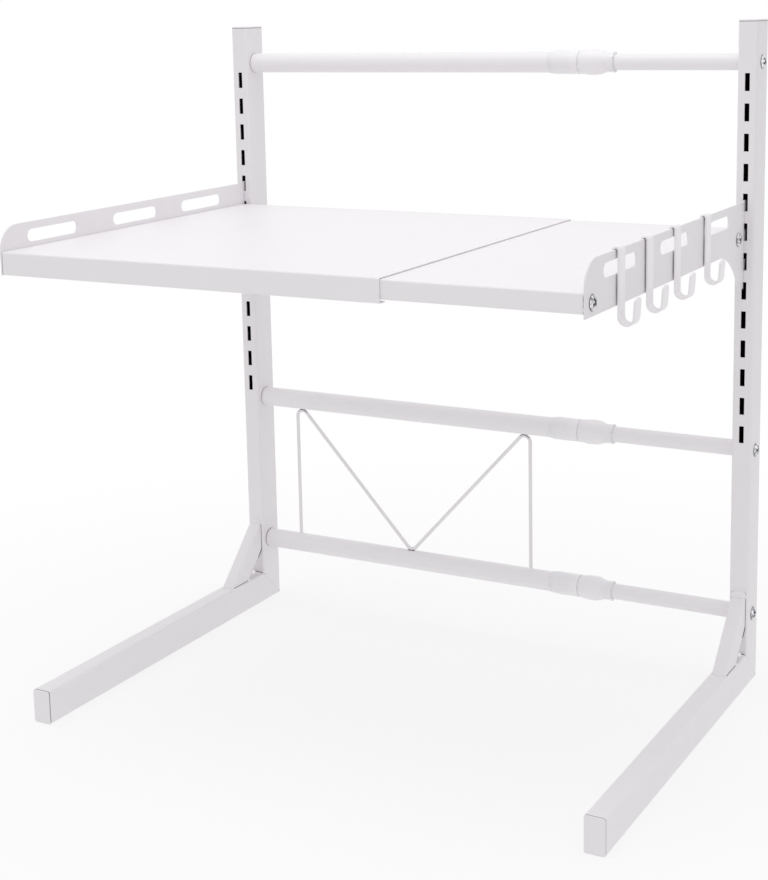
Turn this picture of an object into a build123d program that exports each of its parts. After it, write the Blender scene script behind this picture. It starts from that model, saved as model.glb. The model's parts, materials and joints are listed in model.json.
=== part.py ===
from build123d import *
import os
from math import asin, atan2, cos, hypot, radians, sin, sqrt

# A microwave shelf: two L-shaped tube frames joined by three telescopic bars, and a
# two-piece sheet shelf whose side plates hook into slots in the posts.
# Lengths are in millimetres. X runs to the right, Y to the back and Z up.
# Pieces are laid out from the left post's outer face, the posts' front face and the floor.
# At the end they move together, so that the origin is on the floor under the middle of the box.

# Posts and feet, of rectangular tube, joined by a mitre
frame_width = 622.0
post_height = 692.0
foot_reach = 403.0
tube_width = 20.0
tube_depth = 35.0
tube_wall = 1.2
tube_inner_corner = 1.2

# Braces between post and foot, of a smaller tube at 45 degrees
brace_width = 15.0
brace_depth = 24.6
brace_wall = 1.2
brace_inner_corner = 0.8
brace_corner_gap = 30.0

# End caps
cap_flange = 2.0
cap_edge = 1.1
cap_plug_length = 12.0
cap_plug_wall = 1.6
cap_rib = 1.4
plug_clearance = 0.08

# Slots in the posts' front walls
slot_count = 13
slot_pitch = 30.0
slot_width = 5.0
slot_height = 17.8
first_slot_drop = 50.5

# Telescopic bars
top_bar_drop = 40.0
middle_bar_height = 253.5
bottom_bar_height = 76.0
outer_tube_wall = 1.2
outer_tube_length = 398.0
inner_tube_diameter = 17.0
inner_tube_wall = 1.2
tube_space = 1.3
inner_tube_length = 400.0
running_clearance = 0.08

# Twist collar at the end of each outer tube
sleeve_grip = 24.0
sleeve_shoulder = 10.0
sleeve_wall = 1.4
sleeve_lead = 6.0
sleeve_lead_drop = 0.9
liner_length = 20.0
spigot_length = 15.0
spigot_wall = 2.0
collar_gap = 0.4
thread_clearance = 0.3
nut_length = 38.0
nut_bulge_start = 12.0
nut_bulge_end = 17.0
nut_bulge = 1.0
nut_neck_start = 33.0
nut_neck_wall = 1.3
nut_bead_length = 2.2
nut_bead = 0.5
clamp_ring_length = 8.0
clamp_ring_small_wall = 0.9
clamp_ring_split = 1.6

# Guide bush on the hidden end of each inner tube
guide_length = 20.0
guide_end_wall = 2.0
guide_hole_diameter = 9.0

# Threaded plugs in the tubes' post ends
insert_length = 22.0

# Screws and nuts
screw_diameter = 6.0
screw_hole_clearance = 0.2
screw_head_diameter = 13.5
screw_head_height = 3.4
screw_head_rim = 0.8
bar_screw_length = 36.0
plate_screw_length = 9.0
recess_length = 6.4
recess_width = 1.5
recess_depth = 2.2
nut_flats = 10.0
nut_height = 5.0

# Zigzag wire between the middle and bottom outer tubes
wire_diameter = 4.0
wire_bend = 7.0
wire_left = 64.5
wire_span = 303.0

# Shelf panels, bent from sheet
shelf_drop = 15.2
shelf_reach = 422.0
shelf_back_gap = 3.0
panel_sheet = 1.0
panel_bend = 0.8
panel_height = 22.5
panel_lip = 10.0
panel_relief = 1.2
left_panel_end = 425.0
right_panel_length = 400.0
right_panel_height = 17.8
nest_gap = 0.4

# Side plates, hooked into the posts' slots
plate_sheet = 1.5
plate_rise = 24.5
plate_front_radius = 24.0
left_plate_side_gap = 1.0
right_plate_side_gap = 0.3
plate_seat_gap = 0.3
free_slot_count = 4
hook_slot_count = 3
neck_height = 10.8
nose_depth = 6.0
nose_drop = 5.5
nose_corner = 1.2
gusset_drop = 41.0
gusset_foot = 15.0
gusset_radius = 72.0
gusset_corner = 5.0
window_length = 76.0
window_height = 12.5
window_drop = 7.5
front_window_inset = 77.0
back_window_inset = 88.0
middle_window_shift = 6.5
plate_screw_front = 15.0
plate_screw_back = 19.0
plate_screw_drop = 11.0

# Loose J hooks over the right plate's top edge
strip_width = 13.5
strip_thickness = 2.2
hook_back_gap = 0.3
hook_face_gap = 1.2
hook_top_gap = 0.75
hook_lip = 8.0
hook_drop = 64.0
hook_reach = 18.0
hook_tip_length = 17.0
hook_tip_lean = 4.0
hook_end_radius = 4.5
hook_centres = (349.0, 281.0, 209.0, 123.0)

# How far a cutter reaches past the surface it cuts
past = 1.0

# Values worked out from the sizes above
tube_corner = tube_inner_corner + tube_wall
brace_corner = brace_inner_corner + brace_wall
bar_depth = tube_depth / 2
bar_heights = {
    "top": post_height - top_bar_drop,
    "middle": middle_bar_height,
    "bottom": bottom_bar_height,
}
inner_radius = inner_tube_diameter / 2
inner_bore = inner_radius - inner_tube_wall
outer_bore = inner_radius + tube_space
outer_radius = outer_bore + outer_tube_wall
right_post_left = frame_width - tube_width
sleeve_end = tube_width + outer_tube_length + sleeve_shoulder
nut_start = sleeve_end + collar_gap
inner_tube_start = right_post_left - inner_tube_length
top_hook_seat = post_height - first_slot_drop - slot_pitch * free_slot_count - slot_height
shelf_surface = top_hook_seat - shelf_drop
panel_bottom = shelf_surface - panel_height
plate_top = shelf_surface + plate_rise
gusset_bottom = panel_bottom - gusset_drop
left_plate_outer = (tube_width - slot_width) / 2 + left_plate_side_gap
left_plate_inner = left_plate_outer + plate_sheet
right_plate_inner = frame_width - (tube_width + slot_width) / 2 + right_plate_side_gap
right_plate_outer = right_plate_inner + plate_sheet
front_window = shelf_reach - front_window_inset
middle_window = (front_window + back_window_inset) / 2 - middle_window_shift


def block(x_span, y_span, z_span):
    """A plain block between two limits on each axis."""
    size = [high - low for low, high in (x_span, y_span, z_span)]
    corner = Pos(x_span[0], y_span[0], z_span[0])
    return corner * Box(*size, align=(Align.MIN, Align.MIN, Align.MIN))


def side_prism(points, x_low, x_high):
    """A flat outline given as (Y, Z) points, made solid between two X limits."""
    outline = Plane.YZ * make_face(Polyline(*points, close=True))
    return Pos(x_low, 0, 0) * extrude(outline, x_high - x_low)


def rod(x_low, x_high, y, z, radius):
    """A round rod along X."""
    return Pos(x_low, y, z) * extrude(Plane.YZ * Circle(radius), x_high - x_low)


def turned(points):
    """A solid turned about the X axis from an outline given as (X, radius) points."""
    outline = Plane.XZ * make_face(Polyline(*points, close=True))
    return revolve(outline, Axis.X)


def smooth_step(start, end):
    """A curve between two points that leaves and arrives level."""
    middle = (start[0] + end[0]) / 2
    return Bezier(start, (middle, start[1]), (middle, end[1]), end)


def slot_bottom(index):
    """Height of the lower edge of a slot, counted down from 0 at the top."""
    return top_hook_seat - slot_pitch * (index - free_slot_count)


def tube_section():
    """The hollow section of posts and feet."""
    outside = RectangleRounded(tube_width, tube_depth, tube_corner)
    inside = RectangleRounded(
        tube_width - 2 * tube_wall, tube_depth - 2 * tube_wall, tube_inner_corner
    )
    return outside - inside


def mitre_cutter(x_left, corner):
    """Everything on one side of the mitre plane. Its corner is at the same Y and Z on that side."""
    points = [(-tube_depth, 2 * tube_depth), (2 * tube_depth, -tube_depth), (corner, corner)]
    return side_prism(points, x_left - past, x_left + tube_width + past)


def post(x_left):
    """Upright tube with its slots, screw holes and mitred foot end."""
    tube = Pos(x_left + tube_width / 2, tube_depth / 2, 0) * extrude(tube_section(), post_height)
    tube -= mitre_cutter(x_left, -tube_depth)
    slot_left = x_left + (tube_width - slot_width) / 2
    for index in range(slot_count):
        low = slot_bottom(index)
        slot = block((0, slot_width), (-past, tube_wall + past), (low, low + slot_height))
        tube -= Pos(slot_left, 0, 0) * slot
    hole_radius = screw_diameter / 2 + screw_hole_clearance
    for height in bar_heights.values():
        tube -= rod(x_left - past, x_left + tube_width + past, bar_depth, height, hole_radius)
    return tube


def foot(x_left):
    """Floor tube, mitred to the post at the back and capped at the front."""
    length = foot_reach - cap_flange + tube_depth
    lying = Rot(90, 0, 0) * extrude(tube_section(), length)
    tube = Pos(x_left + tube_width / 2, tube_depth, tube_depth / 2) * lying
    return tube - mitre_cutter(x_left, 2 * tube_depth)


def brace(x_left):
    """Short sloping tube whose ends are cut flush with the post and the foot."""
    slant = sqrt(2)
    near = brace_corner_gap
    far = near + brace_depth * slant
    shift = (tube_width - brace_width) / 2

    def band(inner, outer):
        return [
            (0, tube_depth + inner),
            (0, tube_depth + outer),
            (-outer, tube_depth),
            (-inner, tube_depth),
        ]

    low, high = x_left + shift, x_left + shift + brace_width
    solid = side_prism(band(near, far), low, high)
    sloping = Axis((0, 0, 0), (0, 1, 1))
    solid = fillet(solid.edges().filter_by(sloping), brace_corner)
    wall = brace_wall * slant
    hollow = side_prism(band(near + wall, far - wall), low + brace_wall, high - brace_wall)
    return solid - hollow


def end_cap():
    """Moulded cap at the origin, with its flange above the tube's end and its plug below."""
    flange = extrude(RectangleRounded(tube_width, tube_depth, tube_corner), cap_flange)
    flange = fillet(flange.faces().sort_by(Axis.Z)[-1].edges(), cap_edge)
    plug_width = tube_width - 2 * (tube_wall + plug_clearance)
    plug_depth = tube_depth - 2 * (tube_wall + plug_clearance)
    shell = RectangleRounded(plug_width, plug_depth, tube_inner_corner)
    shell -= Rectangle(plug_width - 2 * cap_plug_wall, plug_depth - 2 * cap_plug_wall)
    plug = extrude(shell, -cap_plug_length)
    rib = extrude(Rectangle(plug_width - cap_plug_wall, cap_rib), -cap_plug_length)
    return flange + plug + rib


def post_cap(x_left):
    return Pos(x_left + tube_width / 2, tube_depth / 2, post_height) * end_cap()


def foot_cap(x_left):
    place = Pos(x_left + tube_width / 2, cap_flange - foot_reach, tube_depth / 2)
    return place * Rot(90, 0, 0) * end_cap()


def tube_along_bar(x_low, x_high, radius, wall, height):
    """Round tube on a bar's axis."""
    outside = rod(x_low, x_high, bar_depth, height, radius)
    return outside - rod(x_low - past, x_high + past, bar_depth, height, radius - wall)


def outer_tube(height):
    return tube_along_bar(tube_width, tube_width + outer_tube_length, outer_radius, outer_tube_wall, height)


def inner_tube(height):
    return tube_along_bar(inner_tube_start, right_post_left, inner_radius, inner_tube_wall, height)


def on_bar(shape, height):
    """Moves a shape turned about the X axis onto a bar's axis."""
    return Pos(0, bar_depth, height) * shape


def collar_sleeve(height):
    """Moulded sleeve on the outer tube's end, with the nut's spigot and a liner for the inner tube."""
    tube_end = tube_width + outer_tube_length
    start = tube_end - sleeve_grip
    skin = outer_radius + sleeve_wall
    over_tube = outer_radius + plug_clearance
    bore = inner_radius + running_clearance
    outline = [
        (start, over_tube),
        (start, skin - sleeve_lead_drop),
        (start + sleeve_lead, skin),
        (sleeve_end, skin),
        (sleeve_end, bore + spigot_wall),
        (sleeve_end + spigot_length, bore + spigot_wall),
        (sleeve_end + spigot_length, bore),
        (tube_end - liner_length, bore),
        (tube_end - liner_length, outer_bore - plug_clearance),
        (tube_end, outer_bore - plug_clearance),
        (tube_end, over_tube),
    ]
    return on_bar(turned(outline), height)


def clamp_ring(height):
    """Split cone that the nut squeezes onto the inner tube."""
    bore = inner_radius + running_clearance
    start = sleeve_end + spigot_length + collar_gap
    thick = bore + spigot_wall
    outline = [
        (start, bore),
        (start, thick),
        (start + clamp_ring_length / 3, thick),
        (start + clamp_ring_length, bore + clamp_ring_small_wall),
        (start + clamp_ring_length, bore),
    ]
    half_split = clamp_ring_split / 2
    length = (start - past, start + clamp_ring_length + past)
    split = block(length, (-half_split, half_split), (0, 2 * thick))
    return on_bar(turned(outline) - split, height)


def lock_nut(height):
    """Twist nut: a bulged grip that tapers to a thin neck with a bead at its end."""
    skin = outer_radius + sleeve_wall
    bulge = skin + nut_bulge
    neck_bore = inner_radius + running_clearance + collar_gap
    neck = neck_bore + nut_neck_wall
    grip_bore = inner_radius + running_clearance + spigot_wall + thread_clearance
    cone_start = sleeve_end + spigot_length + collar_gap + clamp_ring_length / 3
    cone_end = cone_start + 2 * clamp_ring_length / 3
    cone_bore = grip_bore - spigot_wall + clamp_ring_small_wall
    end = nut_start + nut_length
    bead_start = end - nut_bead_length
    outside = [
        Line((nut_start, grip_bore), (nut_start, skin)),
        smooth_step((nut_start, skin), (nut_start + nut_bulge_start, bulge)),
        Line((nut_start + nut_bulge_start, bulge), (nut_start + nut_bulge_end, bulge)),
        smooth_step((nut_start + nut_bulge_end, bulge), (nut_start + nut_neck_start, neck)),
        Polyline(
            (nut_start + nut_neck_start, neck),
            (bead_start, neck),
            (bead_start, neck + nut_bead),
            (end, neck + nut_bead),
            (end, neck_bore),
            (cone_end, neck_bore),
            (cone_end, cone_bore),
            (cone_start, grip_bore),
            (nut_start, grip_bore),
        ),
    ]
    outline = Plane.XZ * make_face(Curve() + outside)
    return on_bar(revolve(outline, Axis.X), height)


def guide_bush(height):
    """Cup on the inner tube's hidden end, which runs in the outer tube."""
    radius = outer_bore - running_clearance
    low = inner_tube_start - guide_end_wall
    high = low + guide_end_wall + guide_length
    cup = rod(low, high, bar_depth, height, radius)
    cup -= rod(inner_tube_start, high + past, bar_depth, height, inner_radius + plug_clearance)
    return cup - rod(low - past, high, bar_depth, height, guide_hole_diameter / 2)


def tube_insert(x_low, radius, height):
    """Threaded plug in a tube's end, which takes the bar screw."""
    plug = rod(x_low, x_low + insert_length, bar_depth, height, radius - plug_clearance)
    bore = screw_diameter / 2 + plug_clearance
    return plug - rod(x_low - past, x_low + insert_length + past, bar_depth, height, bore)


def screw(length):
    """Screw at the origin: its shank along +X and a domed, cross-slotted head along -X."""
    radius = screw_head_diameter / 2
    rim = screw_head_rim
    rise = screw_head_height - rim
    dome = RadiusArc((-screw_head_height, 0), (-rim, radius), (radius**2 + rise**2) / (2 * rise))
    sides = Polyline((-rim, radius), (0, radius), (0, screw_diameter / 2), (length, screw_diameter / 2))
    base = Polyline((length, screw_diameter / 2), (length, 0), (-screw_head_height, 0))
    body = revolve(Plane.XZ * make_face(Curve() + [dome, sides, base]), Axis.X)
    half = recess_length / 2
    thin = recess_width / 2
    depth = (-screw_head_height - past, -screw_head_height + recess_depth)
    body -= block(depth, (-half, half), (-thin, thin))
    return body - block(depth, (-thin, thin), (-half, half))


def hex_nut():
    """Nut at the origin, its bore along +X."""
    body = extrude(Plane.YZ * RegularPolygon(nut_flats / sqrt(3), 6), nut_height)
    return body - rod(-past, nut_height + past, 0, 0, screw_diameter / 2 + plug_clearance)


def facing_left(shape):
    """Turns a shape about the upright axis, so that what pointed along +X points along -X."""
    return Rot(0, 0, 180) * shape


def zigzag_wire():
    """Wire bent up, down to the bottom tube, up and down again, welded between two tubes."""
    foot_height = bottom_bar_height + outer_radius
    low = foot_height + wire_diameter / 2 + wire_bend
    high = middle_bar_height - outer_radius - wire_diameter / 2 - wire_bend
    middle = wire_left + wire_span / 2
    right = wire_left + wire_span
    peak = (wire_left + wire_bend, high)
    valley = (middle, low)
    run, rise = valley[0] - peak[0], valley[1] - peak[1]
    angle = atan2(rise, run) - asin(2 * wire_bend / hypot(run, rise))
    normal = (-sin(angle), cos(angle))

    def at(centre, direction, side=1):
        x = centre[0] + wire_bend * direction[0]
        z = centre[1] + wire_bend * direction[1]
        return Vector(x if side > 0 else 2 * middle - x, 0, z)

    crest = (sin(angle / 2), cos(angle / 2))
    half = [
        Line(Vector(wire_left, 0, foot_height), at(peak, (-1, 0))),
        ThreePointArc(at(peak, (-1, 0)), at(peak, crest), at(peak, normal)),
        Line(at(peak, normal), at(valley, (-normal[0], -normal[1]))),
    ]
    other = [
        Line(at(valley, (-normal[0], -normal[1]), -1), at(peak, normal, -1)),
        ThreePointArc(at(peak, normal, -1), at(peak, crest, -1), at(peak, (-1, 0), -1)),
        Line(at(peak, (-1, 0), -1), Vector(right, 0, foot_height)),
    ]
    bottom = ThreePointArc(
        at(valley, (-normal[0], -normal[1])), at(valley, (0, -1)), at(valley, (-normal[0], -normal[1]), -1)
    )
    path = Curve() + (half + [bottom] + other)
    start = Plane(origin=(wire_left, 0, foot_height), z_dir=(0, 0, 1))
    wire = sweep(start * Circle(wire_diameter / 2), path=Wire(path.edges()))
    return Pos(0, bar_depth, 0) * wire


def tray(x_span, y_span, z_span, closed_left):
    """Sheet tray upside down: a top, a front, a back and one end flange, with lips turned in below."""
    outer = block(x_span, y_span, z_span)
    closed = x_span[0] if closed_left else x_span[1]
    radius = panel_bend + panel_sheet
    end_face = outer.faces().sort_by(Axis.X)[0 if closed_left else -1]
    end_edges = end_face.edges().filter_by(Axis.X, reverse=True).sort_by(Axis.Z)[1:]
    outer = fillet(outer.edges().filter_by(Axis.X) + end_edges, radius)
    x_low = x_span[0] + panel_sheet if closed_left else x_span[0] - past
    x_high = x_span[1] + past if closed_left else x_span[1] - panel_sheet
    y_low, y_high = y_span[0] + panel_sheet, y_span[1] - panel_sheet
    inner = block((x_low, x_high), (y_low, y_high), (z_span[0] + panel_sheet, z_span[1] - panel_sheet))
    inner = fillet(inner.edges().filter_by(Axis.X), panel_bend)
    sheet = outer - inner
    sheet -= block(
        (x_low, x_high),
        (y_span[0] + panel_lip, y_span[1] - panel_lip),
        (z_span[0] - past, z_span[0] + radius + past),
    )
    relief = (closed - past, closed + panel_relief)
    if not closed_left:
        relief = (closed - panel_relief, closed + past)
    relief_height = (z_span[0] - past, z_span[1] - radius)
    sheet -= block(relief, (y_span[0] - past, y_span[0] + panel_relief), relief_height)
    sheet -= block(relief, (y_span[1] - panel_relief, y_span[1] + past), relief_height)
    return sheet - plate_holes(closed - panel_sheet - past, closed + panel_sheet + past)


def plate_holes(x_low, x_high):
    """The two screw holes through a side plate and a panel's end flange."""
    height = shelf_surface - plate_screw_drop
    radius = screw_diameter / 2 + screw_hole_clearance
    front = rod(x_low, x_high, plate_screw_front - shelf_reach, height, radius)
    return front + rod(x_low, x_high, -plate_screw_back, height, radius)


def left_panel():
    return tray(
        (left_plate_inner, left_panel_end),
        (-shelf_reach, -shelf_back_gap),
        (panel_bottom, shelf_surface),
        closed_left=True,
    )


def right_panel():
    """Slides inside the left panel, so it is smaller by one sheet and one gap, and lower."""
    step = panel_sheet + nest_gap
    top = shelf_surface - step
    return tray(
        (right_plate_inner - right_panel_length, right_plate_inner),
        (step - shelf_reach, -shelf_back_gap - step),
        (top - right_panel_height, top),
        closed_left=False,
    )


def plate_outline():
    """The side plate's outer edge, seen from the side, without its slot hooks. One wide arc, which leaves
    the lower edge smoothly, frees the gusset down to its narrow foot on the post."""
    front, back = -shelf_reach, -plate_seat_gap
    arc_start = -gusset_foot - sqrt(gusset_radius**2 - (gusset_radius - gusset_drop) ** 2)
    foot_corner = (-gusset_foot, gusset_bottom)
    straight_top = plate_top - plate_front_radius
    edge = [
        Line((front, panel_bottom), (front, straight_top)),
        RadiusArc((front, straight_top), (front + plate_front_radius, plate_top), plate_front_radius),
        Polyline((front + plate_front_radius, plate_top), (back, plate_top), (back, gusset_bottom), foot_corner),
        RadiusArc(foot_corner, (arc_start, panel_bottom), -gusset_radius),
        Line((arc_start, panel_bottom), (front, panel_bottom)),
    ]
    outline = make_face(Curve() + edge)
    return fillet(outline.vertices().sort_by_distance(foot_corner)[0], gusset_corner)


def slot_hook(index):
    """Neck and nose of one hook, which rests on a slot's lower edge and drops behind the wall."""
    floor = slot_bottom(index) + plate_seat_gap
    nose_front = tube_wall + plate_seat_gap
    nose_back = nose_front + nose_depth
    points = [
        (-2 * plate_seat_gap, floor),
        (nose_front, floor),
        (nose_front, floor - nose_drop),
        (nose_back, floor - nose_drop),
        (nose_back, floor + neck_height),
        (-2 * plate_seat_gap, floor + neck_height),
    ]
    shape = make_face(Polyline(*points, close=True))
    tips = shape.vertices().sort_by(Axis.X)[-2:]
    return fillet(tips, nose_corner)


def side_plate(x_low):
    """Flat plate with a rounded front, three windows, a gusset and the slot hooks."""
    outline = plate_outline()
    for step in range(hook_slot_count):
        outline += slot_hook(free_slot_count + step)
    window_height_centre = plate_top - window_drop - window_height / 2
    for centre in (front_window, middle_window, back_window_inset):
        outline -= Pos(-centre, window_height_centre) * SlotOverall(window_length, window_height)
    plate = Pos(x_low, 0, 0) * extrude(Plane.YZ * outline, plate_sheet)
    return plate - plate_holes(x_low - past, x_low + plate_sheet + past)


def plate_fastener_places():
    """The (Y, Z) places of the side plate's screws."""
    height = shelf_surface - plate_screw_drop
    return [(plate_screw_front - shelf_reach, height), (-plate_screw_back, height)]


def j_hook(centre):
    """Flat strip over the plate's top edge, down its outside, and up again in a J that leans out."""
    half_strip = strip_thickness / 2
    lean = radians(hook_tip_lean)
    lip_x = right_plate_inner - hook_back_gap - half_strip
    leg_x = right_plate_outer + hook_face_gap + half_strip
    tip_x = right_plate_outer + hook_reach - half_strip * cos(lean)
    top_bend = (leg_x - lip_x) / 2
    tip_bend = (tip_x - leg_x - hook_tip_length * sin(lean)) / (1 + cos(lean))
    top_z = plate_top + hook_top_gap + half_strip - top_bend
    bottom_z = plate_top - hook_drop + half_strip + tip_bend
    bend_x = leg_x + tip_bend
    low = (bend_x - tip_bend * sin(lean / 2), 0, bottom_z - tip_bend * cos(lean / 2))
    bend_end = (bend_x + tip_bend * cos(lean), 0, bottom_z - tip_bend * sin(lean))
    tip = (tip_x, 0, bend_end[2] + hook_tip_length * cos(lean))
    path = Curve() + [
        Line((lip_x, 0, plate_top - hook_lip), (lip_x, 0, top_z)),
        ThreePointArc((lip_x, 0, top_z), (lip_x + top_bend, 0, top_z + top_bend), (leg_x, 0, top_z)),
        Line((leg_x, 0, top_z), (leg_x, 0, bottom_z)),
        ThreePointArc((leg_x, 0, bottom_z), low, bend_end),
        Line(bend_end, tip),
    ]
    start = Plane(origin=(lip_x, 0, plate_top - hook_lip), x_dir=(1, 0, 0), z_dir=(0, 0, 1))
    strip = sweep(start * Rectangle(strip_thickness, strip_width), path=Wire(path.edges()))
    corners = []
    for end in strip.faces().sort_by(SortBy.AREA)[:2]:
        corners += end.edges().sort_by(SortBy.LENGTH)[:2]
    return Pos(0, -centre, 0) * fillet(corners, hook_end_radius)


def pieces():
    """Every piece by name. Identical fasteners share a name as a group of separate solids."""
    parts = {}
    for side, x_left in (("left", 0.0), ("right", right_post_left)):
        parts[side + "_post"] = post(x_left)
        parts[side + "_foot"] = foot(x_left)
        parts[side + "_brace"] = brace(x_left)
        parts[side + "_post_cap"] = post_cap(x_left)
        parts[side + "_foot_cap"] = foot_cap(x_left)
    for name, height in bar_heights.items():
        parts["outer_tube_" + name] = outer_tube(height)
        parts["inner_tube_" + name] = inner_tube(height)
        parts["collar_sleeve_" + name] = collar_sleeve(height)
        parts["clamp_ring_" + name] = clamp_ring(height)
        parts["lock_nut_" + name] = lock_nut(height)
        parts["guide_bush_" + name] = guide_bush(height)
    heights = bar_heights.values()
    parts["left_tube_inserts"] = Compound([tube_insert(tube_width, outer_bore, z) for z in heights])
    right_start = right_post_left - insert_length
    parts["right_tube_inserts"] = Compound([tube_insert(right_start, inner_bore, z) for z in heights])
    bar_screw = screw(bar_screw_length)
    parts["left_bar_screws"] = Compound([Pos(0, bar_depth, z) * bar_screw for z in heights])
    parts["right_bar_screws"] = Compound(
        [Pos(frame_width, bar_depth, z) * facing_left(bar_screw) for z in heights]
    )
    parts["zigzag_wire"] = zigzag_wire()
    parts["left_panel"] = left_panel()
    parts["right_panel"] = right_panel()
    parts["left_side_plate"] = side_plate(left_plate_outer)
    parts["right_side_plate"] = side_plate(right_plate_inner)
    plate_screw = screw(plate_screw_length)
    nut = hex_nut()
    left_nut_face = left_plate_inner + panel_sheet
    right_nut_face = right_plate_inner - panel_sheet
    places = plate_fastener_places()
    parts["left_plate_screws"] = Compound([Pos(left_plate_outer, y, z) * plate_screw for y, z in places])
    parts["left_plate_nuts"] = Compound([Pos(left_nut_face, y, z) * nut for y, z in places])
    parts["right_plate_screws"] = Compound(
        [Pos(right_plate_outer, y, z) * facing_left(plate_screw) for y, z in places]
    )
    parts["right_plate_nuts"] = Compound([Pos(right_nut_face, y, z) * facing_left(nut) for y, z in places])
    for number, centre in enumerate(hook_centres, start=1):
        parts["j_hook_" + str(number)] = j_hook(centre)
    return parts


def origin_shift():
    """Moves the layout's corner so that the origin lies under the middle of the whole box."""
    left = -screw_head_height
    right = max(frame_width + screw_head_height, right_plate_outer + hook_reach)
    return Pos(-(left + right) / 2, -(tube_depth - shelf_reach) / 2, 0)


os.makedirs("parts", exist_ok=True)
shift = origin_shift()
for node, shape in pieces().items():
    export_step(shift * shape, "parts/" + node + ".step")
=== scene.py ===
import json
from math import pi, radians

import bmesh
import bpy
import numpy as np
from mathutils import Matrix, Vector


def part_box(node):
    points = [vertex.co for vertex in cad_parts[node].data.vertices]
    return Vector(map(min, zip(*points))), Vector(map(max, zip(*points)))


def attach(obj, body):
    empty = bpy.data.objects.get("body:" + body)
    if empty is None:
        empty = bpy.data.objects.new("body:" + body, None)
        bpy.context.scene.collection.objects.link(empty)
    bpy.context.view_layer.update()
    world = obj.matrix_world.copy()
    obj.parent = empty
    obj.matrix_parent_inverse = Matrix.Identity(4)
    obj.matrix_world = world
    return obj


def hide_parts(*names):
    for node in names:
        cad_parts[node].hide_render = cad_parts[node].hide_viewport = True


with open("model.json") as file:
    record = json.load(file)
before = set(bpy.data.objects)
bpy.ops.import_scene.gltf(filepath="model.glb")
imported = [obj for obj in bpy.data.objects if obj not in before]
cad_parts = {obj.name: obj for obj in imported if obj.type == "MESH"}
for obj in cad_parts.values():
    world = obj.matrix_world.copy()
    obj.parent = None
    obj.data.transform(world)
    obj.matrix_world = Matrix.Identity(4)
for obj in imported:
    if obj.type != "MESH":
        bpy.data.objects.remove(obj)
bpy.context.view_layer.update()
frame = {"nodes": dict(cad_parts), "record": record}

# The looks of a white steel shelf that stands over a microwave: powder-coated tube and sheet,
# moulded caps and twist collars, zinc-plated screws. Lengths are in metres, turns in radians.

MM = 0.001

# The photograph's view, solved from the object's own edges
picture_height = 880
axis_row = 300
focal_pixels = 1673.2
camera_place = (0.7911, -1.4428, 0.7125)
camera_yaw = radians(29.05)
camera_pitch = radians(9.91)
camera_roll = radians(-1.17)
sensor_width = 36.0
clip_near = 0.01
clip_far = 50.0


def place_camera():
    """Camera at the photograph's place. Its shift puts the lens axis on the picture row where it
    was solved."""
    data = bpy.data.cameras.new("camera")
    data.sensor_width = sensor_width
    data.lens = focal_pixels * sensor_width / picture_height
    data.shift_y = (axis_row - picture_height / 2) / picture_height
    data.clip_start = clip_near
    data.clip_end = clip_far
    camera = bpy.data.objects.new("camera", data)
    bpy.context.scene.collection.objects.link(camera)
    turn = Matrix.Rotation(camera_yaw, 4, "Z") @ Matrix.Rotation(pi / 2 - camera_pitch, 4, "X")
    turn = turn @ Matrix.Rotation(camera_roll, 4, "Z")
    camera.matrix_world = Matrix.Translation(camera_place) @ turn
    bpy.context.scene.camera = camera


# The sRGB curve: a straight toe, then a power
toe_end = 0.04045
toe_slope = 12.92
curve_offset = 0.055
curve_power = 2.4

# Numbers of the colour sockets on a Mix node
mix_first = 6
mix_second = 7
mix_result = 2

# The noise that colour patches follow
patch_detail = 3.0
patch_noise = 0.6


def colour(code):
    """Linear red, green, blue and 1, from an sRGB hex code."""
    parts = np.array([int(code[i : i + 2], 16) for i in (1, 3, 5)]) / 255
    curve = ((parts + curve_offset) / (1 + curve_offset)) ** curve_power
    linear = np.where(parts <= toe_end, parts / toe_slope, curve)
    return (*linear.tolist(), 1.0)


def add(tree, kind, inputs=None, **settings):
    """Adds a shader node. Each input takes a plain value, or the socket that it is linked from."""
    made = tree.nodes.new("ShaderNode" + kind)
    for name, value in settings.items():
        setattr(made, name, value)
    for name, value in (inputs or {}).items():
        if isinstance(value, bpy.types.NodeSocket):
            tree.links.new(value, made.inputs[name])
        else:
            made.inputs[name].default_value = value
    return made


def new_material(name):
    """An empty node material with its output, and the place in the object as a vector socket."""
    material = bpy.data.materials.new(name)
    material.use_nodes = True
    tree = material.node_tree
    tree.nodes.clear()
    output = add(tree, "OutputMaterial")
    place = add(tree, "TexCoord").outputs["Object"]
    return material, tree, output, place


def mottled(tree, place, light, dark, size, spread=0.5):
    """A colour that drifts between two shades in patches of one size. A small spread parts them
    sharply."""
    patches = add(
        tree,
        "TexNoise",
        {"Vector": place, "Scale": 1 / size, "Detail": patch_detail, "Roughness": patch_noise},
    )
    share = add(
        tree,
        "MapRange",
        {"Value": patches.outputs["Fac"], "From Min": 0.5 - spread, "From Max": 0.5 + spread},
    )
    mix = add(
        tree,
        "Mix",
        {"Factor": share.outputs["Result"], mix_first: colour(light), mix_second: colour(dark)},
        data_type="RGBA",
    )
    return mix.outputs[mix_result]


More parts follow.
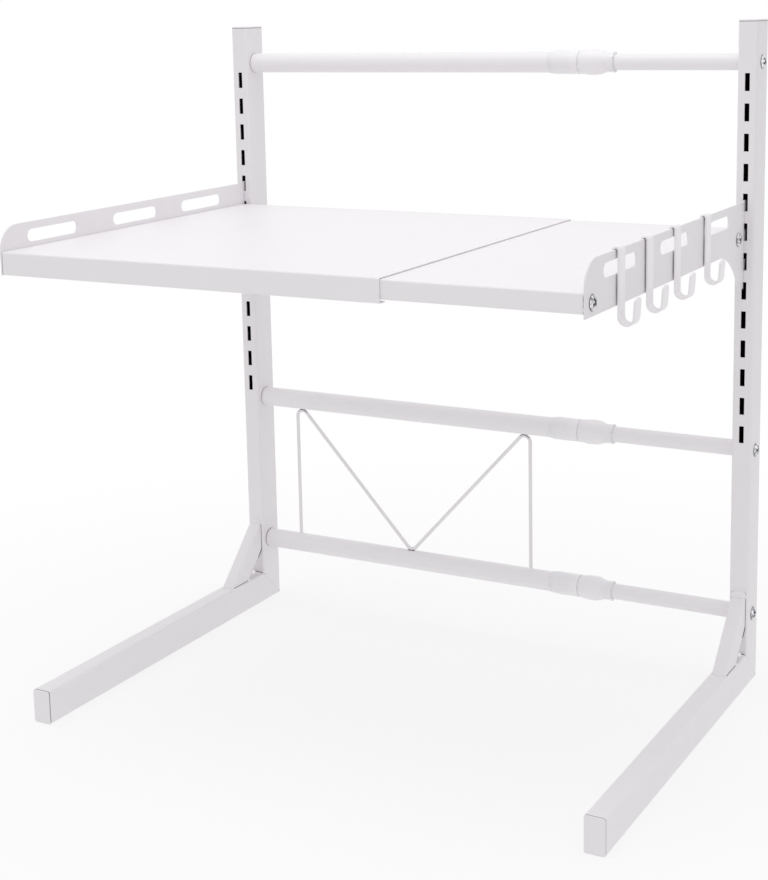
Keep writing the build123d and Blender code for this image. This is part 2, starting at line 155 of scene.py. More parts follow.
def grained(
    name,
    light,
    dark,
    patch,
    grain,
    depth,
    roughness,
    spread=0.5,
    drift=0.0,
    detail=2.0,
    noise=0.5,
    more=None,
):
    """A material mottled in patches of one size, which a noise of one grain lifts by up to a depth.
    Detail and noise say how much finer grain it holds. With a drift, the grain also moves the
    roughness up and down. More holds further shader inputs."""
    material, tree, output, place = new_material(name)
    pattern = add(
        tree,
        "TexNoise",
        {"Vector": place, "Scale": 1 / grain, "Detail": detail, "Roughness": noise},
    )
    height = pattern.outputs["Fac"]
    bump = add(tree, "Bump", {"Height": height, "Distance": depth, "Strength": 1.0})
    if drift:
        gloss = {"Value": height, "To Min": roughness - drift, "To Max": roughness + drift}
        roughness = add(tree, "MapRange", gloss).outputs["Result"]
    inputs = {
        "Base Color": mottled(tree, place, light, dark, patch, spread),
        "Roughness": roughness,
        "Normal": bump.outputs["Normal"],
    }
    shader = add(tree, "BsdfPrincipled", inputs | (more or {}))
    tree.links.new(shader.outputs["BSDF"], output.inputs["Surface"])
    return material


def powder_coat(name, light, dark, roughness, grain=1.6 * MM, depth=0.012 * MM):
    """Polyester powder, sprayed and baked: it flows into soft ripples a millimetre or two wide, so
    its gloss is broken up a little."""
    return grained(
        name,
        light,
        dark,
        patch=24 * MM,
        grain=grain,
        depth=depth,
        roughness=roughness,
        drift=0.05,
        noise=0.45,
        more={"IOR": 1.5},
    )


def white_frame_coat():
    """Satin white powder coat on the frames, wire and side plates."""
    return powder_coat("satin_white_powder_coat", "#EFECEF", "#EBE8EB", roughness=0.46)


def white_bar_coat():
    """Powder coat on the round bars, a little whiter than the frame coat: painted light that makes
    up for the shade the shelf casts on them.
    """
    return powder_coat("bar_powder_coat_painted_light", "#F2EFF2", "#EFECEF", roughness=0.42)


def white_shelf_coat():
    """Finer powder coat on the two shelf panels."""
    fine = {"roughness": 0.42, "grain": 1.2 * MM, "depth": 0.008 * MM}
    return powder_coat("fine_white_powder_coat", "#F3F0F3", "#F0EDF0", **fine)


def white_hook_coat():
    """Smooth dipped coat on the J hooks, a little glossier than the sprayed one."""
    smooth = {"roughness": 0.32, "grain": 2.4 * MM, "depth": 0.006 * MM}
    return powder_coat("smooth_white_dip_coat", "#F8F5F8", "#F5F2F5", **smooth)


def pooled_coat_painted_glint():
    """Powder that melted into a pool over a weld: thicker and smoother than on the flats, and
    whiter as a painted highlight for the glint that a weld catches."""
    thick = {"roughness": 0.25, "grain": 2.4 * MM, "depth": 0.02 * MM}
    return powder_coat("pooled_powder_coat_painted_glint", "#FBFAFB", "#F6F4F6", **thick)


def moulded_cap_plastic():
    """Polyethylene caps: a spark-eroded mould texture, so they are duller than the coated steel.
    The real grit is too fine to show, and is drawn coarser."""
    return grained(
        "moulded_polyethylene",
        "#EDEAED",
        "#E9E6E9",
        patch=15 * MM,
        grain=0.9 * MM,
        depth=0.02 * MM,
        roughness=0.55,
        detail=4.0,
        noise=0.7,
        more={"IOR": 1.5},
    )


def milky_collar_plastic():
    """Unfilled polypropylene, injected into a polished mould: milky, so light goes a little way in
    and its edges look soft. It waves slightly where the melt flowed."""
    milk = {
        "IOR": 1.49,
        "Subsurface Weight": 0.35,
        "Subsurface Scale": 3 * MM,
        "Subsurface Radius": (1.0, 0.9, 0.85),
    }
    return grained(
        "milky_polypropylene",
        "#F6F3F6",
        "#F2EFF2",
        patch=9 * MM,
        grain=6 * MM,
        depth=0.03 * MM,
        roughness=0.33,
        more=milk,
    )


def plain_inner_plastic():
    """Natural nylon bushes and inserts, seen only where the frame is pulled apart."""
    material, tree, output, place = new_material("natural_nylon")
    base = mottled(tree, place, "#E6E3DF", "#DEDBD6", size=8 * MM)
    shader = add(tree, "BsdfPrincipled", {"Base Color": base, "Roughness": 0.5, "IOR": 1.53})
    tree.links.new(shader.outputs["BSDF"], output.inputs["Surface"])
    return material


def zinc_painted_reflection():
    """Bright zinc plate on cold-headed steel: a clear metal sheen with faint drawing marks, drawn
    coarser than they are. Its sharp light and dark patches are painted reflections, of what the
    small crown mirrors."""
    return grained(
        "zinc_painted_reflection_plate",
        "#FAFAFC",
        "#86868C",
        patch=3 * MM,
        grain=0.8 * MM,
        depth=0.01 * MM,
        roughness=0.28,
        spread=0.14,
        drift=0.08,
        detail=4.0,
        noise=0.65,
        more={"Metallic": 1.0},
    )


def steel_for_painted_shade(name, light, dark, roughness):
    """Dull, dark and a little blotchy steel colour, used for painted shade in crevices, screw
    recesses and tube bores.
    """
    return grained(
        name,
        light,
        dark,
        patch=2 * MM,
        grain=2.5 * MM,
        depth=0.03 * MM,
        roughness=roughness,
        detail=4.0,
        noise=0.6,
        more={"Metallic": 0.5},
    )


def recess_shade():
    """Zinc in a driver recess and under a head's rim, dulled, and darker as painted shade where
    light hardly reaches.
    """
    return steel_for_painted_shade("zinc_painted_shade", "#86868B", "#68686D", roughness=0.5)


def mill_scale_painted_shade():
    """Inside of the frame tubes: dark rolling skin, made near black as painted shade, so that the
    open slots look dark.
    """
    return steel_for_painted_shade("mill_scale_painted_shade", "#19181A", "#121113", roughness=0.7)


def crevice_shade_paint():
    """Painted shade: a thin dark line of steel colour, laid where parts meet at weld roots, joints
    and grooves.
    """
    return steel_for_painted_shade("crevice_shade_painted_steel", "#59575A", "#454346", roughness=0.6)


# One finish for each material slot of the record, and those that only the details here have
finishes = {
    "white_powder_coat": white_frame_coat(),
    "white_shelf_coat": white_shelf_coat(),
    "hook_coat": white_hook_coat(),
    "cap_plastic": moulded_cap_plastic(),
    "collar_plastic": milky_collar_plastic(),
    "inner_plastic": plain_inner_plastic(),
    "zinc_steel": zinc_painted_reflection(),
}
# Painted shade in tube bores (with their dark mill scale), crevices and screw recesses; a painted
# glint on welds; painted light on the bars
tube_bore_painted_shade = mill_scale_painted_shade()
painted_crevice_shade = crevice_shade_paint()
screw_painted_shade = recess_shade()
weld_coat_painted_glint = pooled_coat_painted_glint()
frame_coat = finishes["white_powder_coat"]
bar_coat_painted_light = white_bar_coat()

slots = {part["node"]: part["material_slot"] for part in frame["record"]["subparts"]}
bars = ("top", "middle", "bottom")
sides = ("left", "right")
hook_numbers = range(1, 5)

# How meshes are cleaned, and which edges count as sharp
copy_merge = 0.001 * MM
surface_merge = 0.0001 * MM
flat_angle = radians(1)
crease = radians(32)
ease_segments = 3

# Radius that coat or mould leaves on the sharp edges of each kind of piece
post_ease = 0.4 * MM
foot_ease = 0.6 * MM
brace_ease = 0.3 * MM
cap_ease = 0.75 * MM
panel_ease = 0.2 * MM
side_plate_ease = 0.35 * MM
plate_nut_ease = 0.4 * MM
hook_ease = 0.65 * MM
bar_ease = 0.3 * MM
collar_ease = 0.3 * MM

# The frames' tube, and how deep in its wall a face has to lie to take the bore's dark colour, bare
# steel and painted shade
tube_wall = 1.2 * MM
tube_corner = 2.4 * MM
bare_share = 0.75


def dress_cad_nodes():
    """Every CAD node gets the finish of its own material slot."""
    for node, slot in slots.items():
        for place in frame["nodes"][node].material_slots:
            place.material = finishes[slot]


def body_of(node):
    """The body that a CAD node rides on."""
    bodies = frame["record"]["behaviour"]["bodies"]
    return next(body for body, nodes in bodies.items() if node in nodes)


def middle_of(node):
    """The middle of a CAD node's box."""
    low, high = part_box(node)
    return (low + high) / 2


def half_height_of(node):
    """Half the height of a CAD node's box: a bar's radius, or a nut's reach over its flats."""
    low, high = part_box(node)
    return (high.z - low.z) / 2


def new_piece(name, mesh, body, slot, *materials):
    """A piece of the visual model, in its place and on its body."""
    for material in materials or (finishes[slot],):
        mesh.materials.append(material)
    piece = bpy.data.objects.new(name, mesh)
    bpy.context.scene.collection.objects.link(piece)
    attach(piece, body)
    return piece


def merged_copy(node, name):
    """The node's own shape as one clean mesh: its doubles merged, each of its flats one face."""
    shell = bmesh.new()
    shell.from_mesh(frame["nodes"][node].data)
    bmesh.ops.remove_doubles(shell, verts=shell.verts, dist=copy_merge)
    bmesh.ops.dissolve_limit(shell, angle_limit=flat_angle, verts=shell.verts, edges=shell.edges)
    mesh = bpy.data.meshes.new(name)
    shell.to_mesh(mesh)
    shell.free()
    mesh.materials.clear()
    mesh.shade_smooth()
    return mesh


def eased(node, ease, *materials, clamp=True):
    """The node's shape with its sharp edges rounded, as coat and mould leave them. It stands for
    the node. Without the clamp, short hidden edges don't narrow the others."""
    name = node + "_finished"
    piece = new_piece(name, merged_copy(node, name), body_of(node), slots[node], *materials)
    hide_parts(node)
    rounding = piece.modifiers.new("rounding", "BEVEL")
    rounding.width = ease
    rounding.segments = ease_segments
    rounding.limit_method = "ANGLE"
    rounding.angle_limit = crease
    rounding.use_clamp_overlap = clamp
    even = piece.modifiers.new("even_shading", "WEIGHTED_NORMAL")
    even.keep_sharp = True
    return piece


def face_centres(mesh):
    """The middle of each face, as rows of X, Y and Z."""
    centres = np.empty(3 * len(mesh.polygons))
    mesh.polygons.foreach_get("center", centres)
    return centres.reshape(-1, 3)


def eased_post(side):
    """A post with eased slot edges, whose inner walls are bare and near black as painted shade: the
    faces that lie deeper than most of its wall's thickness, both from its sides and from its front
    and back."""
    node = side + "_post"
    piece = eased(node, post_ease, finishes[slots[node]], tube_bore_painted_shade)
    low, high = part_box(node)
    centres = face_centres(piece.data)
    reach = tube_wall * bare_share
    deep_x = (centres[:, 0] > low.x + reach) & (centres[:, 0] < high.x - reach)
    deep_y = (centres[:, 1] > low.y + reach) & (centres[:, 1] < high.y - reach)
    piece.data.polygons.foreach_set("material_index", (deep_x & deep_y).astype(np.int32))


def surface(name, points, closed_rows=False):
    """A mesh over a grid of points. Columns close on themselves, rows too where that is said, and
    the first and last row may each shrink to a point."""
    rows, columns = points.shape[:2]
    index = np.arange(rows * columns).reshape(rows, columns)
    if closed_rows:
        index = np.vstack([index, index[:1]])
    across = np.roll(index, -1, axis=1)
    faces = np.stack([index[:-1], across[:-1], across[1:], index[1:]], axis=-1).reshape(-1, 4)
    mesh = bpy.data.meshes.new(name)
    mesh.from_pydata(points.reshape(-1, 3).tolist(), [], faces.tolist())
    shell = bmesh.new()
    shell.from_mesh(mesh)
    bmesh.ops.remove_doubles(shell, verts=shell.verts, dist=surface_merge)
    bmesh.ops.recalc_face_normals(shell, faces=shell.faces)
    shell.to_mesh(mesh)
    shell.free()
    mesh.shade_smooth()
    return mesh


def line_path(start, end, count=40):
    """Points along a straight line, evenly shared out."""
    share = np.linspace(0, 1, count)[:, None]
    return np.array(start) * (1 - share) + np.array(end) * share


def ring_path(centre, radius, start=0.0, count=72):
    """Points of a circle square to the X axis: the cosine of the turn along Y, its sine along Z.
    The start angle is 0 at the back and a quarter turn on top."""
    turn = start + np.linspace(0, 2 * np.pi, count, endpoint=False)
    flat = np.zeros(count)
    return np.array(centre) + radius * np.stack([flat, np.cos(turn), np.sin(turn)], axis=-1)


def arch_path(centre, half_width, height, degrees, count):
    """Points of part of an ellipse square to the Y axis: the cosine of the turn along X, its sine
    along Z. The degrees are those of its two ends, and 90 is on top."""
    turn = np.radians(np.linspace(*degrees, count))
    arch = [half_width * np.cos(turn), np.zeros(count), height * np.sin(turn)]
    return np.array(centre) + np.stack(arch, axis=-1)


def frame_path(low, high, axis, place, corner, count=6):
    """Points of a rounded rectangle between two corners of a box, square to one axis at one place
    on it: a quarter circle round each corner's own centre."""
    first, second = [i for i in range(3) if i != axis]
    quarter = np.linspace(0, np.pi / 2, count)
    angles = np.concatenate([quarter + k * np.pi / 2 for k in range(4)])
    left, right = low[first] + corner, high[first] - corner
    under, over = low[second] + corner, high[second] - corner
    points = np.full((4 * count, 3), place)
    points[:, first] = np.repeat([right, left, left, right], count) + corner * np.cos(angles)
    points[:, second] = np.repeat([over, over, under, under], count) + corner * np.sin(angles)
    return points


# Where a path's direction is vertical by more than this share, its rings are set out from the X
# axis instead of the Z axis
upright_share = 0.9


def bead(
    name,
    path,
    radius,
    body,
    material,
    slot="white_powder_coat",
    closed=False,
    ripple=0.0,
    ripple_length=2 * MM,
    corners=12,
):
    """A round bead along a path: a circle square to the path, whose radius swells and shrinks along
    it like a sine for a rippled weld, and closes at open ends like a half ball."""
    step = np.roll(path, -1, axis=0) - np.roll(path, 1, axis=0)
    if not closed:
        step[0], step[-1] = path[1] - path[0], path[-1] - path[-2]
    ahead = step / np.linalg.norm(step, axis=1, keepdims=True)
    level = np.abs(ahead[:, [2]]) < upright_share
    spare = np.where(level, [[0.0, 0.0, 1.0]], [[1.0, 0.0, 0.0]])
    aside = np.cross(spare, ahead)
    aside /= np.linalg.norm(aside, axis=1, keepdims=True)
    up = np.cross(ahead, aside)
    gone = np.concatenate([[0], np.cumsum(np.linalg.norm(np.diff(path, axis=0), axis=1))])
    width = radius * (1 + ripple * np.sin(2 * np.pi * gone / ripple_length))
    if not closed:
        to_end = np.minimum(gone, gone[-1] - gone)
        width *= np.sqrt(1 - np.clip(1 - to_end / radius, 0, 1) ** 2)
    turn = np.linspace(0, 2 * np.pi, corners, endpoint=False)
    spread = aside[:, None] * np.cos(turn)[:, None] + up[:, None] * np.sin(turn)[:, None]
    points = path[:, None] + width[:, None, None] * spread
    return new_piece(name, surface(name, points, closed), body, slot, material)


# Rows and columns of points over a small weld
puddle_rows = 17
puddle_columns = 32


def weld_puddle(name, centre, size, body, material, wall=None):
    """A small weld: a flattened ball of a length along X, a width along Y and a height over its
    centre, below zero for one that hangs. Where the radius of a tube's wall is given, the ball sags
    with that wall's circle to both sides."""
    length, width, height = size
    rise = np.linspace(0, np.pi, puddle_rows)[:, None]
    turn = np.linspace(0, 2 * np.pi, puddle_columns, endpoint=False)[None, :]
    along = length / 2 * np.sin(rise) * np.cos(turn)
    across = width / 2 * np.sin(rise) * np.sin(turn)
    sag = wall - np.sqrt(wall**2 - across**2) if wall else 0 * across
    lift = height * np.cos(rise) - np.sign(height) * sag
    points = np.stack([centre[0] + along, centre[1] + across, centre[2] + lift], axis=-1)
    return new_piece(name, surface(name, points), body, "white_powder_coat", material)


# Screws: truss heads with a cross recess, on M6 shanks
head_radius = 6.75 * MM
head_height = 3.4 * MM
head_rim = 0.8 * MM
rim_round = 0.15 * MM
shank_radius = 3.0 * MM
thread_depth = 0.3 * MM
thread_pitch = 1.0 * MM
bar_screw_length = 36 * MM
plate_screw_length = 9 * MM
recess_reach = 4.4 * MM
recess_half_width = 1.4 * MM
recess_depth = 2.0 * MM
recess_end_slope = 1.7 * MM
recess_side_slope = 0.4 * MM

# Painted shade darkens a recess from this depth on
recess_lit_depth = 0.35 * MM

# How many points a screw has round its axis, and rows over its crown and each turn of its thread
screw_columns = 96
crown_rows = 34
thread_rows = 8

# How far a node's first screw is turned, and how much further each next one
first_tilt = 0.5
tilt_step = 0.9

# Painted shade under a head: a dark ring that swells to one side and fades to the other
seat_radius = 0.36 * MM
seat_lift = 0.1 * MM
seat_fade = 0.75
seat_start = pi * 0.6


def crown_height(out):
    """Height of the crown over the face that the head sits on, at a distance from its axis: part of
    a ball that stands on the rim."""
    rise = head_height - head_rim
    ball = (head_radius**2 + rise**2) / (2 * rise)
    return np.sqrt(ball**2 - out**2) - (ball - rise) + head_rim


def recess_arm(along, across):
    """Share of the recess's full depth in one arm of its cross: it grows on a slope from the arm's
    end and from its sides, and stays at 1 once there."""
    end = (recess_reach - along) / recess_end_slope
    edge = (recess_half_width - across) / recess_side_slope
    return np.clip(np.minimum(end, edge), 0, 1)


def screw_points(length, threaded):
    """A screw along X, as rings from the middle of its crown to its tip: the crown less its recess,
    the rim, the shank. The thread cuts the shank by a triangle wave of the place along it and of
    the turn."""
    turn = np.linspace(0, 2 * np.pi, screw_columns, endpoint=False)[None, :]
    out = np.linspace(0, 1, crown_rows)[:, None] * (head_radius - rim_round)
    across, over = np.abs(out * np.cos(turn)), np.abs(out * np.sin(turn))
    depth = recess_depth * np.maximum(recess_arm(across, over), recess_arm(over, across))
    crown = crown_height(out)
    head = np.stack([depth - crown, out * np.cos(turn), out * np.sin(turn)], axis=-1)

    rows = round(length / thread_pitch * thread_rows) if threaded else 2
    rim_x = [-head_rim, -rim_round, 0]
    rim_r = [head_radius, head_radius, head_radius - rim_round]
    profile_x = np.concatenate([rim_x, np.linspace(0, length, rows), [length]])[:, None]
    profile_r = np.concatenate([rim_r, np.full(rows, shank_radius), [0]])[:, None]
    wave = np.abs((profile_x / thread_pitch - turn / (2 * np.pi)) % 1 - 0.5) * 2
    past_rim = (np.arange(len(profile_x)) >= len(rim_x))[:, None]
    cut = past_rim & (profile_r > 0) & threaded
    radius = profile_r - np.where(cut, thread_depth * wave, 0)
    shank = [profile_x + 0 * turn, radius * np.cos(turn), radius * np.sin(turn)]
    return np.concatenate([head, np.stack(shank, axis=-1)])


def darken_recess(mesh, centre, facing):
    """Gives the second material, painted shade, to the faces that lie under the crown, inside the
    recess.
    """
    local = face_centres(mesh) - np.array(centre)
    out = np.minimum(np.hypot(local[:, 1], local[:, 2]), head_radius)
    height = -facing * local[:, 0]
    in_head = (height > head_rim) & (height < crown_height(out) - recess_lit_depth)
    inside = (out < recess_reach) & in_head
    mesh.polygons.foreach_set("material_index", inside.astype(np.int32))


def joined(name, meshes):
    """Several meshes as one."""
    shell = bmesh.new()
    for mesh in meshes:
        shell.from_mesh(mesh)
        bpy.data.meshes.remove(mesh)
    whole = bpy.data.meshes.new(name)
    shell.to_mesh(whole)
    shell.free()
    whole.shade_smooth()
    return whole


def put_screws(node, places, facing, length, threaded):
    """The screws of one node, each turned a little differently, with a dark ring of painted shade
    under each head.
    Facing is 1 for heads that look left and -1 for heads that look right."""
    body, slot = body_of(node), slots[node]
    low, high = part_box(node)
    face = low.x + head_height if facing > 0 else high.x - head_height
    fading = {"closed": True, "ripple": seat_fade, "ripple_length": 2 * pi * head_radius}
    meshes = []
    for number, (y, z) in enumerate(places):
        tilt = first_tilt + tilt_step * number
        points = screw_points(length, threaded)
        turned_y = points[..., 1] * np.cos(tilt) - points[..., 2] * np.sin(tilt)
        turned_z = points[..., 1] * np.sin(tilt) + points[..., 2] * np.cos(tilt)
        grid = np.stack([face + facing * points[..., 0], y + turned_y, z + turned_z], axis=-1)
        mesh = surface(node, grid)
        darken_recess(mesh, (face, y, z), facing)
        meshes.append(mesh)
        ring = ring_path((face - facing * seat_lift, y, z), head_radius, start=seat_start)
        name = f"{node}_seat_{number + 1}"
        bead(name, ring, seat_radius, body, screw_painted_shade, slot, **fading)
    name = node + "_finished"
    piece = new_piece(name, joined(name, meshes), body, slot, finishes[slot], screw_painted_shade)
    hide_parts(node)


def nut_places(node):
    """The (Y, Z) places of the two nuts in a node, from the ends of its box. A hexagon's reach over
    its corners is its reach over its flats, times 2 over the root of 3."""
    low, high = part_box(node)
    reach = half_height_of(node) * 2 / np.sqrt(3)
    z = (low.z + high.z) / 2
    return [(low.y + reach, z), (high.y - reach, z)]


# Each brace leaves this much of post and foot free at their corner, and has rounded edges
brace_gap = 30 * MM
brace_corner = 2.0 * MM

# Painted shade in dark lines along a brace's sides: the upper one runs on down its underside by a
# tail
brace_shade_line = 0.38 * MM
shade_line_tail = 8.0 * MM

# Welds of a brace, each as length, width and height. The right one got a larger mound and a
# smaller drop.
brace_tack = (3.6 * MM, 5.0 * MM, 2.2 * MM)
brace_mound = {"left": (14.0 * MM, 6.0 * MM, 3.4 * MM), "right": (17.0 * MM, 7.0 * MM, 5.4 * MM)}
brace_drop = {"left": (5.4 * MM, 5.6 * MM, 3.0 * MM), "right": (3.8 * MM, 4.2 * MM, 2.2 * MM)}
brace_bead = 1.3 * MM
brace_ripple = 0.08

# A drop's place: its share of the way down the underside, and how far out of the side it stands
drop_share = 0.72
drop_out = 0.8 * MM

# The high mound has dark lines of painted shade on its shoulders, each between two angles in
# degrees
mound_shade_line = 0.14 * MM
shoulders = {"left": (), "right": ((12, 52), (128, 168))}


def weld_brace(side):
    """The welds of one brace: a mound on its upper end, a rippled bead along its lower front edge,
    tacks on the foot behind it, a drop on its underside, and dark lines of painted shade along its
    sides and on a high mound's shoulders."""
    body = side + "_frame"
    low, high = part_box(side + "_brace")
    post_face, foot_top = high.y, low.z
    heel = post_face - brace_gap
    for number, x in enumerate((low.x, high.x), start=1):
        under = (x, post_face - shade_line_tail, foot_top + brace_gap - shade_line_tail)
        inner_end = (x, post_face, foot_top + brace_gap)
        tail = line_path(under, inner_end, count=20)[:-1]
        upper = line_path(inner_end, (x, post_face, high.z - brace_corner))
        root = np.concatenate([tail, upper])
        bead(f"{side}_brace_root_up_{number}", root, brace_shade_line, body, painted_crevice_shade)
        root = line_path((x, heel, foot_top), (x, low.y + brace_corner, foot_top))
        bead(f"{side}_brace_root_low_{number}", root, brace_shade_line, body, painted_crevice_shade)
        spot = (x, heel, foot_top)
        weld_puddle(f"{side}_brace_tack_{number}", spot, brace_tack, body, frame_coat)

    crest = ((low.x + high.x) / 2, post_face, high.z)
    length, _, height = brace_mound[side]
    weld_puddle(side + "_brace_weld_top", crest, brace_mound[side], body, frame_coat)
    for number, degrees in enumerate(shoulders[side], start=1):
        root = arch_path(crest, length / 2, height, degrees, count=30)
        bead(f"{side}_crest_shade_line_{number}", root, mound_shade_line, body, painted_crevice_shade)

    down = drop_share * brace_gap
    drop = (high.x + drop_out, post_face - down, foot_top + brace_gap - down)
    # The drop's whiter pooled coat is a painted glint
    weld_puddle(side + "_brace_drop", drop, brace_drop[side], body, weld_coat_painted_glint)
    left_end = (low.x + brace_corner, low.y, foot_top)
    right_end = (high.x - brace_corner, low.y, foot_top)
    seam = line_path(left_end, right_end, count=61)
    name = side + "_brace_weld_front"
    bead(name, seam, brace_bead, body, frame_coat, ripple=brace_ripple)


# Welds of the corner between post and foot: a dark line of painted shade at its root, a bead before
# it, its thick start
corner_shade_line = 0.9 * MM
corner_bead = 1.0 * MM
corner_ripple = 0.1
bead_from_root = 2.4 * MM
corner_start = (6.4 * MM, 5.0 * MM, 3.6 * MM)
start_from_side = 3.6 * MM
start_from_post = 2.6 * MM

# Mitre welds are sunk in the tube's sides and hardly stand out of them
mitre_radius = 0.42 * MM
mitre_depth = 0.5 * MM


def weld_corner(side):
    """The welds between one post and its foot: a dark line of painted shade in the inner corner, a
    rippled bead before it that starts in a thick spot, and a line along the mitre on each side."""
    body = side + "_frame"
    brace_low, brace_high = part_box(side + "_brace")
    post_face, foot_top = brace_high.y, brace_low.z
    low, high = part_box(side + "_post")
    left_end = (low.x + tube_corner, post_face, foot_top)
    right_end = (high.x - tube_corner, post_face, foot_top)
    root = line_path(left_end, right_end)
    bead(side + "_corner_shade_line", root, corner_shade_line, body, painted_crevice_shade)
    front = root - np.array([0, bead_from_root, 0])
    # The bead and its thick start are in the pooled coat, whiter as a painted highlight
    bead(side + "_corner_weld", front, corner_bead, body, weld_coat_painted_glint, ripple=corner_ripple)
    start = (low.x + start_from_side, post_face - start_from_post, foot_top)
    weld_puddle(side + "_corner_start", start, corner_start, body, weld_coat_painted_glint)
    back = high.y - tube_corner
    for number, x in enumerate((low.x + mitre_depth, high.x - mitre_depth), start=1):
        inner = (x, post_face + tube_corner, foot_top - tube_corner)
        outer = (x, back, foot_top - (back - post_face))
        mitre = line_path(inner, outer)
        bead(f"{side}_mitre_weld_{number}", mitre, mitre_radius, body, frame_coat)


# Dark rings of painted shade where bars meet posts, which swell to one side and fade to the other
ring_radius = {"top": 0.16 * MM, "middle": 0.16 * MM, "bottom": 0.26 * MM}
ring_fade = 0.9
ring_start = pi / 3


def seat_the_tubes():
    """A dark ring of painted shade where each bar meets its post, widest at its upper front."""
    for bar in bars:
        for node, body, end in (
            ("outer_tube_" + bar, "left_frame", 0),
            ("inner_tube_" + bar, "right_frame", 1),
        ):
            centre = middle_of(node)
            centre.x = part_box(node)[end].x
            radius = half_height_of(node)
            ring = ring_path(centre, radius, start=ring_start)
            fading = {"closed": True, "ripple": ring_fade, "ripple_length": 2 * pi * radius}
            bead(node + "_seat", ring, ring_radius[bar], body, painted_crevice_shade, **fading)


# The bead in the groove under a cap's flange ends just below the tube's surface
groove_depth = 1.6 * MM
groove_radius = 1.59 * MM


def part_the_caps():
    """A dark line of painted shade in the groove between each cap's flange and its tube."""
    for side in sides:
        body = side + "_frame"
        for kind, axis, end in (("post", 2, 1), ("foot", 1, 0)):
            low, high = (np.array(corner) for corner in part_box(f"{side}_{kind}"))
            place = (low, high)[end][axis]
            low, high = low + groove_depth, high - groove_depth
            groove = frame_path(low, high, axis, place, tube_corner - groove_depth)
            name = f"{side}_{kind}_cap_groove"
            bead(name, groove, groove_radius, body, painted_crevice_shade, closed=True, corners=48)


# Welds of the zigzag wire, each as length, width and height. Those at the peaks hang.
wire_bend = 7 * MM
wire_foot = (5.4 * MM, 5.4 * MM, 1.6 * MM)
wire_valley = (9.0 * MM, 3.6 * MM, 0.9 * MM)
wire_peak = (6.0 * MM, 3.0 * MM, -0.8 * MM)

# Dark lines of painted shade at the wire's roots: before its middle by a share of its radius, at
# the valley over a reach to each side, and at the peaks over the bend between two angles in degrees
wire_shade_front = 0.75
valley_shade_line = 0.45 * MM
valley_root_reach = 4 * MM
valley_root_lift = 0.5 * MM
peak_shade_line = 0.38 * MM
peak_root_out = 0.6
peak_root_degrees = (125, 40)


def weld_the_wire():
    """Welds between the zigzag wire and its two tubes: round the feet, under the peaks and at the
    valley, with a dark line of painted shade at the valley and over each peak."""
    body = "left_frame"
    low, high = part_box("zigzag_wire")
    centre = middle_of("zigzag_wire")
    wire = (high.y - low.y) / 2
    inset = wire + wire_bend
    places = {
        "foot_left": (low.x + wire, low.z, wire_foot),
        "foot_right": (high.x - wire, low.z, wire_foot),
        "valley": (centre.x, low.z, wire_valley),
        "peak_left": (low.x + inset, high.z, wire_peak),
        "peak_right": (high.x - inset, high.z, wire_peak),
    }
    front = centre.y - wire_shade_front * wire
    root_z = low.z + valley_root_lift
    left_end = (centre.x - valley_root_reach, front, root_z)
    right_end = (centre.x + valley_root_reach, front, root_z)
    root = line_path(left_end, right_end, count=30)
    bead("wire_shade_line_valley", root, valley_shade_line, body, painted_crevice_shade)
    reach = wire_bend + peak_root_out * wire
    for side in sides:
        bend = (places["peak_" + side][0], front, high.z - inset)
        root = arch_path(bend, reach, reach, peak_root_degrees, count=40)
        bead("wire_shade_line_peak_" + side, root, peak_shade_line, body, painted_crevice_shade)
    wall = half_height_of("outer_tube_top")
    # The wire's welds are in the pooled coat, whose whiteness is a painted highlight
    for name, (x, z, size) in places.items():
        weld_puddle("wire_weld_" + name, (x, centre.y, z), size, body, weld_coat_painted_glint, wall)


# The lip in each nut's thin end stands a little out of it, and leaves play round the inner tube
lip_radius = 0.8 * MM
lip_out = 0.1 * MM
lip_play = 0.06 * MM


def lip_the_nuts():
    """A soft lip inside each nut's thin end, close round the inner tube."""
    slot = "collar_plastic"
    for bar in bars:
        node = "inner_tube_" + bar
        centre = middle_of(node)
        centre.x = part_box("lock_nut_" + bar)[1].x + lip_out
        ring = ring_path(centre, half_height_of(node) + lip_play + lip_radius)
        name, body = "lock_nut_lip_" + bar, "nut_" + bar
        bead(name, ring, lip_radius, body, finishes[slot], slot, closed=True)


dress_cad_nodes()
for side in sides:
    eased_post(side)
    eased(side + "_foot", foot_ease)
    eased(side + "_brace", brace_ease)
    eased(side + "_post_cap", cap_ease, clamp=False)
    eased(side + "_foot_cap", cap_ease, clamp=False)
    eased(side + "_panel", panel_ease)
    eased(side + "_side_plate", side_plate_ease)
    eased(side + "_plate_nuts", plate_nut_ease)
for number in hook_numbers:
    eased(f"j_hook_{number}", hook_ease)
# The bars take the coat whose extra whiteness is painted light
for bar in bars:
    eased("outer_tube_" + bar, bar_ease, bar_coat_painted_light)
    eased("inner_tube_" + bar, bar_ease, bar_coat_painted_light)
    eased("collar_sleeve_" + bar, collar_ease)
bar_places = [tuple(middle_of("outer_tube_" + bar).yz) for bar in bars]
for side, facing in (("left", 1), ("right", -1)):
    put_screws(side + "_bar_screws", bar_places, facing, bar_screw_length, threaded=False)
for side, facing in (("left", 1), ("right", -1)):
    plate_places = nut_places(side + "_plate_nuts")
    put_screws(side + "_plate_screws", plate_places, facing, plate_screw_length, threaded=True)
for side in sides:
    weld_brace(side)
    weld_corner(side)
seat_the_tubes()
part_the_caps()
weld_the_wire()
lip_the_nuts()


# Light: an even room, with a soft lamp close over the shelf and a large one far above
room_strength = 0.79
shelf_middle = (0.0, -0.1, 0.4)
object_middle = (0.0, 0.0, 0.4)

